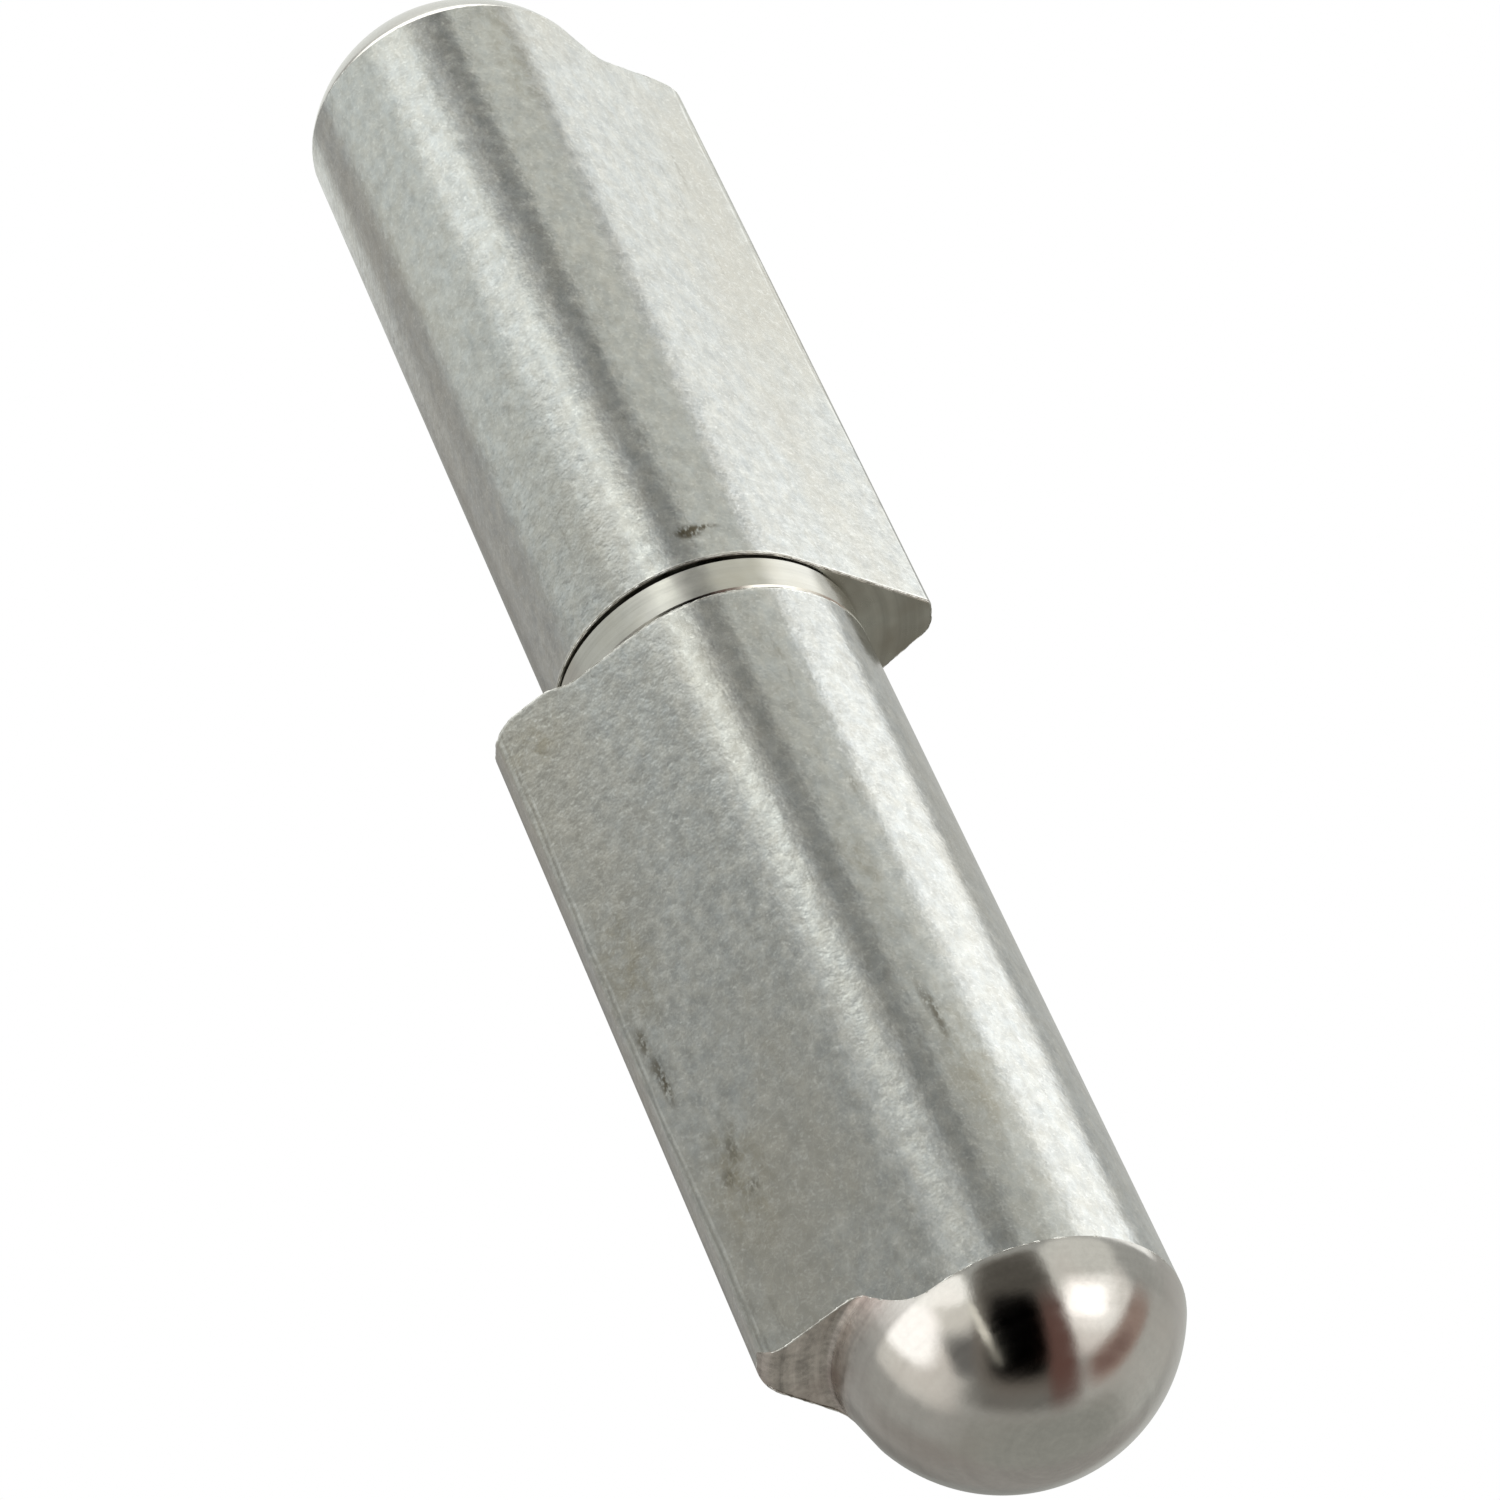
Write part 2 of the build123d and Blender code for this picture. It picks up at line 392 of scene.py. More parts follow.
# Skin of the drawn bar. Marks and smears: (x, y, z) and half sizes in mm, strength.
# Corner lines: place past the tip's crisp corner and half width in mm, lightness, less than 0 if dark.
drawnFinish = dict(
    base=(0.604, 0.619, 0.612), contrast=0.17, coolTint=(0.985, 1.0, 1.015), warmTint=(1.02, 1.0, 0.965),
    oil=(0.60, 0.575, 0.51), smear=(0.47, 0.43, 0.33), stain=(0.17, 0.15, 0.11), frost=(0.92, 0.93, 0.91),
    # bareEdge is a painted highlight, the near-white colour along the joint face's edge
    bareEdge=(0.98, 0.98, 0.95), bareEdgeTo=1.42, roughness=0.19, roughSpread=0.05,
    cloudSize=0.006, mottleSize=0.0007, dentSize=0.0006, grainSize=0.00020, curlSize=0.0007, curlShare=0.20,
    drawLineScale=2600, streakScale=900, patchScale=120, speckleScale=5200,
    dentHeight=0.000017, grainHeight=0.0000030, drawLineHeight=0.0000015,
    dieLines=[(-0.10, 0.09, 0.5), (0.22, 0.12, 0.35), (0.06, 0.08, -0.25)], dieWaver=0.9,
    marks=[
        ((-0.66, -7.93, 3.28), (0.36, 0.5, 0.26), 1.3),  # beside the joint, on the upper leaf
        ((-0.10, -7.95, 3.40), (0.55, 0.5, 0.11), 1.1),
        ((-11.22, -1.36, -23.0), (0.14, 0.30, 0.55), 0.8),  # along the lower fin's tip
        ((-11.10, -1.42, -24.7), (0.20, 0.30, 0.35), 0.6),
        ((-11.05, -1.50, -25.9), (0.13, 0.30, 0.75), 0.9),
        ((-9.66, -2.57, -31.6), (0.16, 0.30, 0.45), 0.55),
        ((-10.2, -2.15, -32.9), (0.16, 0.30, 0.30), 0.6),
        ((-9.44, -2.74, -34.2), (0.22, 0.30, 0.30), 0.6),
        ((0.37, -7.94, -30.8), (0.12, 0.40, 1.0), 0.75),  # on the lower barrel
        ((0.10, -7.94, -29.4), (0.10, 0.40, 0.6), 0.5),
        ((1.54, -7.80, -15.4), (0.14, 0.40, 0.45), 0.45),
    ],
    smears=[
        ((-10.6, -1.8, -18.5), (1.1, 1.4, 3.4), 0.55), ((-9.8, -2.4, -33.5), (1.3, 1.4, 3.2), 0.6),
        ((0.2, -7.95, -20.5), (0.5, 0.8, 3.0), 0.35), ((0.9, -7.9, -34.5), (0.9, 0.9, 3.4), 0.45),
        ((-10.4, -1.9, -3.2), (1.3, 1.4, 1.1), 0.6), ((1.9, -7.7, 41.0), (0.8, 0.9, 4.5), 0.35),
    ],
)


def between(nodes, links, value, zeroAt, oneAt):
    # 0 on one side, 1 on the other, smooth between the two places, which may come in either order
    inside = nodes.new("ShaderNodeMapRange")
    inside.interpolation_type = "SMOOTHSTEP"
    rising = oneAt > zeroAt
    inside.inputs["From Min"].default_value = min(zeroAt, oneAt)
    inside.inputs["From Max"].default_value = max(zeroAt, oneAt)
    inside.inputs["To Min"].default_value = 0.0 if rising else 1.0
    inside.inputs["To Max"].default_value = 1.0 if rising else 0.0
    links.new(value, inside.inputs["Value"])
    return inside.outputs["Result"]


def ellipsoid(nodes, links, where, centre, half, soft):
    # 1 inside the ellipsoid, 0 outside, over a soft edge
    mapping = nodes.new("ShaderNodeMapping")
    mapping.inputs["Scale"].default_value = [1 / (h * mm) for h in half]
    mapping.inputs["Location"].default_value = [-c / h for c, h in zip(centre, half)]
    links.new(where, mapping.inputs["Vector"])
    length = nodes.new("ShaderNodeVectorMath")
    length.operation = "LENGTH"
    links.new(mapping.outputs["Vector"], length.inputs[0])
    return between(nodes, links, length.outputs["Value"], 1 + soft, 1 - soft)


def product(nodes, links, a, b):
    node = nodes.new("ShaderNodeMath")
    node.operation = "MULTIPLY"
    for value, socket in ((a, node.inputs[0]), (b, node.inputs[1])):
        if hasattr(value, "is_output"):
            links.new(value, socket)
        else:
            socket.default_value = value
    return node.outputs[0]


def addBump(nodes, links, shader, terms):
    bump = nodes.new("ShaderNodeBump")
    bump.inputs["Strength"].default_value = 1.0
    bump.inputs["Distance"].default_value = 1.0
    links.new(sumUp(nodes, links, terms), bump.inputs["Height"])
    links.new(bump.outputs["Normal"], shader.inputs["Normal"])


def times(c, k):
    return tuple(v * k for v in c)


def drawnSteel(f, girth):
    material, nodes, links, shader, where = newMetal("drawnPickledSteel", f["roughness"])
    along = (1, 1, 0.62)  # everything on the bar is drawn out a little along it
    mottle = noise(nodes, links, where, 1 / f["mottleSize"], 3, 0.66, along)
    dents = noise(nodes, links, where, 1 / f["dentSize"], 2, 0.55, (1, 1, 0.85), (0.31, 0.17, 0.05))
    grain = noise(nodes, links, where, 1 / f["grainSize"], 1, 0.5)
    cloud = noise(nodes, links, where, 1 / f["cloudSize"], 3, 0.55, (1, 1, 0.4), (0.3, 0.1, 0.7))
    tint = noise(nodes, links, where, 1 / f["mottleSize"], 4, 0.7, along, (0.8, 0.4, 0.2))
    lines = noise(nodes, links, where, f["drawLineScale"], 2, 0.5, (1, 1, 0.012))
    streak = noise(nodes, links, where, f["streakScale"], 3, 0.6, (1, 1, 0.09), (0.7, 0.2, 0.4))
    patch = noise(nodes, links, where, f["patchScale"], 2, 0.5, (1, 1, 0.5), (0.1, 0.9, 0.3))
    low, high = times(f["base"], 1 - f["contrast"]), times(f["base"], 1 + f["contrast"])
    colour = ramp(nodes, links, mottle, [(0.28, low), (0.72, high)])
    hue = ramp(nodes, links, tint, [(0.35, f["coolTint"]), (0.65, f["warmTint"])])
    colour = mix(nodes, links, 1.0, colour, hue, "MULTIPLY")
    # the fin's tip keeps more of the drawing oil, and thin light lines are painted along its crisp corner
    wrapped = nodes.new("ShaderNodeUVMap")
    wrapped.uv_map = "barWrap"
    section = nodes.new("ShaderNodeSeparateXYZ")
    links.new(wrapped.outputs["UV"], section.inputs["Vector"])
    around = section.outputs["X"]
    nearTip = between(nodes, links, around, girth["flank"], girth["show"] - 0.8)
    oily = sumUp(nodes, links, [(cloud, 1.0), (nearTip, 0.10)])
    colour = mix(nodes, links, fade(nodes, links, oily, (0.50, 0), (0.75, 0.6)), colour, f["oil"])
    for centre, half, share in f["smears"]:
        spot = product(nodes, links, ellipsoid(nodes, links, where, centre, half, 0.8), share)
        spot = product(nodes, links, spot, fade(nodes, links, mottle, (0.40, 1), (0.62, 0.2)))
        colour = mix(nodes, links, spot, colour, f["smear"])
    # white crystals stand out of the pickled skin, in curls and in grains
    curl = noise(nodes, links, where, 1 / f["curlSize"], 2, 0.55, (1, 1, 0.8), (0.7, 0.3, 0.5))
    curls = fade(nodes, links, curl, (0.46, 0), (0.495, f["curlShare"]), (0.53, 0))
    colour = mix(nodes, links, curls, colour, f["frost"])
    colour = mix(nodes, links, fade(nodes, links, grain, (0.58, 0), (0.76, 0.4)), colour, f["frost"])
    # long stains lie along the bar, and only in some patches
    here = sumUp(nodes, links, [(patch, 1.0), (nearTip, 0.05)])
    here = fade(nodes, links, here, (0.54, 0), (0.66, 1))
    broken = noise(nodes, links, where, f["speckleScale"], 3, 0.65, (1, 1, 0.5), (0.6, 0.2, 0.9))
    broken = fade(nodes, links, broken, (0.38, 0), (0.52, 1))
    stain = product(nodes, links, fade(nodes, links, streak, (0.62, 0), (0.72, 0.35)), broken)
    colour = mix(nodes, links, product(nodes, links, stain, here), colour, f["stain"])
    for centre, half, dark in f["marks"]:
        spot = ellipsoid(nodes, links, where, centre, times(half, 1.5), 0.8)
        spot = product(nodes, links, product(nodes, links, spot, dark), broken)
        colour = mix(nodes, links, spot, colour, f["stain"])
    # the corner lines waver a little with the cloud, and fade in and out along the bar
    wavering = sumUp(nodes, links, [(around, 1.0), (cloud, f["dieWaver"])])
    patchy = fade(nodes, links, mottle, (0.38, 0.2), (0.58, 1))
    for offset, width, light in f["dieLines"]:
        at = girth["show"] + offset + f["dieWaver"] / 2
        left = between(nodes, links, wavering, at - width, at - width * 0.3)
        right = between(nodes, links, wavering, at + width, at + width * 0.3)
        band = product(nodes, links, product(nodes, links, left, right), patchy)
        shade = f["frost"] if light > 0 else f["stain"]
        colour = mix(nodes, links, product(nodes, links, band, abs(light)), colour, shade)
    # a painted highlight: the edge next to the joint face is painted near white
    height = sumUp(nodes, links, [(section.outputs["Y"], 1.0), (grain, 0.35)])
    rim = between(nodes, links, height, f["bareEdgeTo"] + 0.26, f["bareEdgeTo"] + 0.10)
    colour = mix(nodes, links, product(nodes, links, rim, 0.85), colour, f["bareEdge"])
    links.new(colour, shader.inputs["Base Color"])
    smooth, rough = f["roughness"] - f["roughSpread"], f["roughness"] + f["roughSpread"]
    worn = sumUp(nodes, links, [(dents, 0.5), (tint, 0.5)])
    links.new(fade(nodes, links, worn, (0.38, smooth), (0.62, rough)), shader.inputs["Roughness"])
    heights = [(dents, f["dentHeight"]), (grain, f["grainHeight"]), (lines, f["drawLineHeight"])]
    addBump(nodes, links, shader, heights)
    return material


# where the flank towards -Y starts and where it meets the tip's crisp corner, in mm round the section
def sectionGirth(s):
    outline, _ = outlinePoints(s)
    total, places = 0.0, [0.0]
    for (x0, y0, *_), (x1, y1, *_) in zip(outline, outline[1:]):
        total += sqrt((x1 - x0) ** 2 + (y1 - y0) ** 2)
        places.append(total)
    flankStart = s["cornerColumns"] + s["flankColumns"] + s["barrelColumns"]
    return dict(flank=places[flankStart], show=places[flankStart + s["flankColumns"]])


# Between two heights above the joint's middle, in mm, the shoulder's rougher finish gives way to the dome's.
turnedFinish = dict(
    dome=(0.60, 0.590, 0.565), domeBlush=(0.585, 0.545, 0.515), domeRough=0.135, domeStreaks=0.10,
    shoulder=(0.56, 0.51, 0.475), shoulderBlush=(0.42, 0.33, 0.30), shoulderRough=0.28, shoulderStreaks=0.42,
    shoulderFrom=43.2, shoulderTo=44.9, raggedness=1.6, roughSpread=0.045,
    bandSize=0.0007, smearScale=480, blushScale=150, waveScale=330, speckScale=3000,
    waveHeight=0.0000045, speckHeight=0.0000022, toolHeight=0.000010,
)


def radialNoise(nodes, links, where, scale, detail, roughness):
    # tool marks run round the pin axis, so they depend on the distance from it and on height
    split = nodes.new("ShaderNodeSeparateXYZ")
    links.new(where, split.inputs["Vector"])
    flat = nodes.new("ShaderNodeCombineXYZ")
    links.new(split.outputs["X"], flat.inputs["X"])
    links.new(split.outputs["Y"], flat.inputs["Y"])
    length = nodes.new("ShaderNodeVectorMath")
    length.operation = "LENGTH"
    links.new(flat.outputs["Vector"], length.inputs[0])
    rings = nodes.new("ShaderNodeCombineXYZ")
    links.new(length.outputs["Value"], rings.inputs["X"])
    links.new(split.outputs["Z"], rings.inputs["Z"])
    return noise(nodes, links, rings.outputs["Vector"], scale, detail, roughness)


def turnedSteel(f):
    material, nodes, links, shader, where = newMetal("turnedEndSteel", f["domeRough"])
    bands = radialNoise(nodes, links, where, 1 / f["bandSize"], 5, 0.65)
    smear = noise(nodes, links, where, f["smearScale"], 5, 0.70)
    blush = noise(nodes, links, where, f["blushScale"], 3, 0.55, (1, 1, 1), (0.4, 0.7, 0.1))
    wave = noise(nodes, links, where, f["waveScale"], 3, 0.5, (1, 1, 1), (0.2, 0.3, 0.9))
    speck = noise(nodes, links, where, f["speckScale"], 2, 0.6)
    height = nodes.new("ShaderNodeSeparateXYZ")
    links.new(where, height.inputs["Vector"])
    level = nodes.new("ShaderNodeMath")
    level.operation = "ABSOLUTE"
    links.new(height.outputs["Z"], level.inputs[0])
    # the tool left the shoulder and the neck's root rougher and browner than the dome
    ragged = sumUp(nodes, links, [(level.outputs[0], 1 / mm), (smear, f["raggedness"])])
    middle = f["raggedness"] / 2  # what the smear adds on the whole
    shoulder = between(nodes, links, ragged, f["shoulderTo"] + middle, f["shoulderFrom"] + middle)
    blushed = fade(nodes, links, blush, (0.45, 0), (0.68, 0.8))
    streaky = sumUp(nodes, links, [(bands, 0.45), (smear, 0.30), (speck, 0.25)])
    patchy = sumUp(nodes, links, [(bands, 0.5), (smear, 0.5)])

    def tone(colour, streaks, darker):
        low, high = times(colour, 1 - streaks), times(colour, 1 + streaks)
        return mix(nodes, links, blushed, ramp(nodes, links, streaky, [(0.38, low), (0.62, high)]), darker)

    def roughRamp(rough, spread):
        return fade(nodes, links, patchy, (0.36, rough - spread), (0.64, rough + spread))

    domeTone = tone(f["dome"], f["domeStreaks"], f["domeBlush"])
    shoulderTone = tone(f["shoulder"], f["shoulderStreaks"], f["shoulderBlush"])
    links.new(mix(nodes, links, shoulder, domeTone, shoulderTone), shader.inputs["Base Color"])
    domeRough = roughRamp(f["domeRough"], f["roughSpread"])
    shoulderRough = roughRamp(f["shoulderRough"], f["roughSpread"] * 2)
    links.new(mix(nodes, links, shoulder, domeRough, shoulderRough), shader.inputs["Roughness"])
    toolMarks = product(nodes, links, bands, shoulder)
    heights = [(wave, f["waveHeight"]), (speck, f["speckHeight"]), (toolMarks, f["toolHeight"])]
    addBump(nodes, links, shader, heights)
    return material


machinedFinish = dict(colour=(0.60, 0.590, 0.565), blush=(0.56, 0.54, 0.50), roughness=0.28, roughSpread=0.05,
                      grooveSize=0.00020, grooveHeight=0.000003, streaks=0.15, smearScale=700, blushScale=220)
# painted shade: the joint face is coloured darker and browner than the other machined steel, as it is lit
# less
facedFinish = dict(machinedFinish, colour=(0.45, 0.445, 0.40), blush=(0.33, 0.30, 0.25), roughness=0.34,
                   roughSpread=0.10, streaks=0.25)
ringFinish = dict(machinedFinish, colour=(0.70, 0.695, 0.655), blush=(0.66, 0.64, 0.56), roughness=0.20,
                  grooveHeight=0.0000012, streaks=0.10)
pinFinish = dict(machinedFinish, colour=(0.62, 0.62, 0.62), blush=(0.58, 0.58, 0.57), roughness=0.14,
                 grooveHeight=0.000001, streaks=0.05)


def machinedSteel(f, name):
    material, nodes, links, shader, where = newMetal(name, f["roughness"])
    grooves = radialNoise(nodes, links, where, 1 / f["grooveSize"], 2, 0.6)
    bands = radialNoise(nodes, links, where, 0.25 / f["grooveSize"], 4, 0.65)
    smear = noise(nodes, links, where, f["smearScale"], 4, 0.65)
    blush = noise(nodes, links, where, f["blushScale"], 3, 0.55, (1, 1, 1), (0.4, 0.7, 0.1))
    low, high = times(f["colour"], 1 - f["streaks"]), times(f["colour"], 1 + f["streaks"])
    streaky = sumUp(nodes, links, [(bands, 0.65), (smear, 0.35)])
    colour = ramp(nodes, links, streaky, [(0.34, low), (0.66, high)])
    colour = mix(nodes, links, fade(nodes, links, blush, (0.45, 0), (0.68, 0.8)), colour, f["blush"])
    links.new(colour, shader.inputs["Base Color"])
    smooth, rough = f["roughness"] - f["roughSpread"], f["roughness"] + f["roughSpread"]
    links.new(fade(nodes, links, smear, (0.36, smooth), (0.64, rough)), shader.inputs["Roughness"])
    addBump(nodes, links, shader, [(grooves, f["grooveHeight"])])
    return material


burrFinish = dict(
    colour=(0.97, 0.97, 0.94), dull=(0.42, 0.41, 0.37), roughest=0.5, smoothest=0.26,
    patchScale=1500, biteHeight=0.00003,
)


def burrSteel(f):
    material, nodes, links, shader, where = newMetal("raisedBurrSteel", f["smoothest"])
    patchy = noise(nodes, links, where, f["patchScale"], 3, 0.7)
    colour = ramp(nodes, links, patchy, [(0.40, f["dull"]), (0.58, f["colour"])])
    links.new(colour, shader.inputs["Base Color"])
    rough = fade(nodes, links, patchy, (0.3, f["roughest"]), (0.7, f["smoothest"]))
    links.new(rough, shader.inputs["Roughness"])
    addBump(nodes, links, shader, [(patchy, f["biteHeight"])])
    return material


drawn = drawnSteel(drawnFinish, sectionGirth(leafShape))
turned = turnedSteel(turnedFinish)
faced = machinedSteel(facedFinish, "facedJointSteel")
bored = machinedSteel(machinedFinish, "boredSteel")
ringMetal = machinedSteel(ringFinish, "brushedRingSteel")
pinMetal = machinedSteel(pinFinish, "groundPinSteel")
burrMetal = burrSteel(burrFinish)
for leaf in (upperLeaf, lowerLeaf):
    for finish in (drawn, turned, faced, bored):
        leaf.data.materials.append(finish)
ring.data.materials.append(ringMetal)
pin.data.materials.append(pinMetal)
print("finishes made")


# A fine raised burr is left where the lathe cut the bar and round each joint face. Its centre line lies
# inset into the bar, and a little above the cut and the face.
burrShape = dict(
    radius=0.060, unevenness=0.85, step=0.12, sides=6, seed=7, raggedScale=2200,
    inset=0.05, aboveCut=0.01, aboveFace=0.05,
)


def burrTree(b):
    tree = bpy.data.node_groups.new("burrAlongEdge", "GeometryNodeTree")
    face = tree.interface
    face.new_socket("Edge", in_out="INPUT", socket_type="NodeSocketGeometry")
    for name, kind in (("Radius", "NodeSocketFloat"), ("Unevenness", "NodeSocketFloat"),
                       ("Step", "NodeSocketFloat"), ("Sides", "NodeSocketInt"), ("Seed", "NodeSocketInt"),
                       ("Finish", "NodeSocketMaterial")):
        face.new_socket(name, in_out="INPUT", socket_type=kind)
    face.new_socket("Burr", in_out="OUTPUT", socket_type="NodeSocketGeometry")
    nodes, links = tree.nodes, tree.links
    given, out = nodes.new("NodeGroupInput"), nodes.new("NodeGroupOutput")

    def add(kind, **settings):
        node = nodes.new(kind)
        for key, value in settings.items():
            setattr(node, key, value)
        return node

    def math(operation, a, b):
        node = add("ShaderNodeMath", operation=operation)
        for value, socket in ((a, node.inputs[0]), (b, node.inputs[1])):
            if hasattr(value, "is_output"):
                links.new(value, socket)
            else:
                socket.default_value = value
        return node.outputs[0]

    curve = add("GeometryNodeMeshToCurve")
    links.new(given.outputs["Edge"], curve.inputs["Mesh"])
    evenly = add("GeometryNodeResampleCurve", mode="LENGTH")
    links.new(curve.outputs["Curve"], evenly.inputs["Curve"])
    links.new(given.outputs["Step"], evenly.inputs["Length"])
    position = add("GeometryNodeInputPosition")
    rough = add("ShaderNodeTexNoise", noise_dimensions="4D")
    rough.inputs["Scale"].default_value = b["raggedScale"]
    rough.inputs["Detail"].default_value = 2
    links.new(position.outputs["Position"], rough.inputs["Vector"])
    links.new(given.outputs["Seed"], rough.inputs["W"])
    # share of the full radius: 0.8 on the whole, never under 0.12
    centred = math("MULTIPLY", math("SUBTRACT", rough.outputs["Fac"], 0.5), 4.0)
    swing = math("MULTIPLY", centred, given.outputs["Unevenness"])
    thick = math("MULTIPLY", math("MAXIMUM", math("ADD", swing, 0.8), 0.12), given.outputs["Radius"])
    capped = math("MINIMUM", thick, given.outputs["Radius"])
    fat = add("GeometryNodeSetCurveRadius")
    links.new(evenly.outputs["Curve"], fat.inputs["Curve"])
    links.new(capped, fat.inputs["Radius"])
    circle = add("GeometryNodeCurvePrimitiveCircle", mode="RADIUS")
    circle.inputs["Radius"].default_value = 1.0
    links.new(given.outputs["Sides"], circle.inputs["Resolution"])
    tube = add("GeometryNodeCurveToMesh")
    links.new(fat.outputs["Curve"], tube.inputs["Curve"])
    links.new(circle.outputs["Curve"], tube.inputs["Profile Curve"])
    radius = add("GeometryNodeInputRadius")
    links.new(radius.outputs["Radius"], tube.inputs["Scale"])
    soft = add("GeometryNodeSetShadeSmooth")
    links.new(tube.outputs["Mesh"], soft.inputs["Geometry"])
    real = add("GeometryNodeRealizeInstances")
    links.new(soft.outputs["Geometry"], real.inputs["Geometry"])
    painted = add("GeometryNodeSetMaterial")
    links.new(real.outputs["Geometry"], painted.inputs["Geometry"])
    links.new(given.outputs["Finish"], painted.inputs["Material"])
    links.new(painted.outputs["Geometry"], out.inputs["Burr"])
    return tree


def makeBurr(name, b, s, flipped, proud, tree, finish):
    outline, reach = outlinePoints(s)
    runs = turnedProfile(s, reach)
    cutLoop, faceLoop = [], []
    for x, y, nx, ny in outline:
        _, cut = cutProfile(runs, sqrt(x * x + y * y))
        lineX, lineY = x - nx * b["inset"], y - ny * b["inset"]
        cutLoop.append(placeOnLeaf(s, flipped, lineX, lineY, cut[1] + b["aboveCut"]))
        faceLoop.append(placeOnLeaf(s, flipped, lineX, lineY, b["aboveFace"] + endLift(s, reach, proud, x)))
    bm = bmesh.new()
    for loop in (cutLoop, faceLoop):
        verts = [bm.verts.new(p) for p in loop]
        for i in range(len(verts)):
            if (verts[i].co - verts[i - 1].co).length > 1e-7:
                bm.edges.new((verts[i - 1], verts[i]))
    mesh = bpy.data.meshes.new(name + "Path")
    bm.to_mesh(mesh)
    bm.free()
    path = bpy.data.objects.new(name + "Path", mesh)
    bpy.context.scene.collection.objects.link(path)
    grow = path.modifiers.new("burr", "NODES")
    grow.node_group = tree
    values = {"Radius": b["radius"] * mm, "Unevenness": b["unevenness"], "Step": b["step"] * mm,
              "Sides": b["sides"], "Seed": b["seed"], "Finish": finish}
    for item in tree.interface.items_tree:
        if item.item_type == "SOCKET" and item.in_out == "INPUT" and item.name in values:
            grow[item.identifier] = values[item.name]
    burrMesh = bpy.data.meshes.new_from_object(path.evaluated_get(bpy.context.evaluated_depsgraph_get()))
    burrMesh.name = name
    bpy.data.objects.remove(path)
    burr = bpy.data.objects.new(name, burrMesh)
    bpy.context.scene.collection.objects.link(burr)
    print(name, len(burrMesh.polygons), "faces")
    return burr


burrs = burrTree(burrShape)
upperBurr = makeBurr("upperLeafBurr", burrShape, leafShape, False, 0.0, burrs, burrMetal)
lowerBurr = makeBurr("lowerLeafBurr", burrShape, leafShape, True, leafShape["lowerProud"], burrs, burrMetal)
for burr, body in ((upperBurr, "upper"), (lowerBurr, "lower")):
    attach(burr, body)

for piece, node, body, slotName in (
        (upperLeaf, "upper_leaf", "upper", "leaf_steel"), (lowerLeaf, "lower_leaf", "lower", "leaf_steel"),
        (ring, "washer", "washer", "washer_steel"), (pin, "hinge_pin", "lower", "pin_steel")):
    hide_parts(node)
    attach(piece, body)

print("pieces ride their bodies")

studio = dict(
    aim=(1.0377 * mm, 2.0717 * mm, -2.5921 * mm), azimuth=-19.5097, elevation=-41.5741, roll=-24.7998,
    distance=364.85 * mm, lens=175.997, floorHeight=-0.62, floorLift=0.6, ambient=0.6,
)


def backDirection(azimuth, elevation):
    a, e = radians(azimuth), radians(elevation)
    return Vector((sin(a) * cos(e), -cos(a) * cos(e), sin(e)))


def makeCamera(s):
    back = backDirection(s["azimuth"], s["elevation"])
    right = Vector((cos(radians(s["azimuth"])), sin(radians(s["azimuth"])), 0))
    up = back.cross(right)
    c, d = cos(radians(s["roll"])), sin(radians(s["roll"]))
    x, y = right * c + up * d, up * c - right * d
    data = bpy.data.cameras.new("camera")
    data.lens, data.sensor_width = s["lens"], 36.0
    data.clip_start, data.clip_end = 0.01, 20
    camera = bpy.data.objects.new("camera", data)
    turn = Matrix((x, y, back)).transposed().to_4x4()
    camera.matrix_world = Matrix.Translation(Vector(s["aim"]) + back * s["distance"]) @ turn
    bpy.context.scene.collection.objects.link(camera)
    bpy.context.scene.camera = camera


def makeWorld(s):
    world = bpy.data.worlds.new("paleRoom")
    bpy.context.scene.world = world
    world.use_nodes = True
    nodes, links = world.node_tree.nodes, world.node_tree.links
    # white to look at and in reflections, dimmer as light on matt surfaces
    seen = nodes.new("ShaderNodeLightPath")
    direct = nodes.new("ShaderNodeMath")
    direct.operation = "MAXIMUM"
    links.new(seen.outputs["Is Camera Ray"], direct.inputs[0])
    links.new(seen.outputs["Is Glossy Ray"], direct.inputs[1])
    strength = nodes.new("ShaderNodeMapRange")
    strength.inputs["To Min"].default_value = s["ambient"]
    strength.inputs["To Max"].default_value = 1.0
    links.new(direct.outputs[0], strength.inputs["Value"])
    nodes["Background"].inputs["Color"].default_value = (1, 1, 1, 1)
    links.new(strength.outputs["Result"], nodes["Background"].inputs["Strength"])


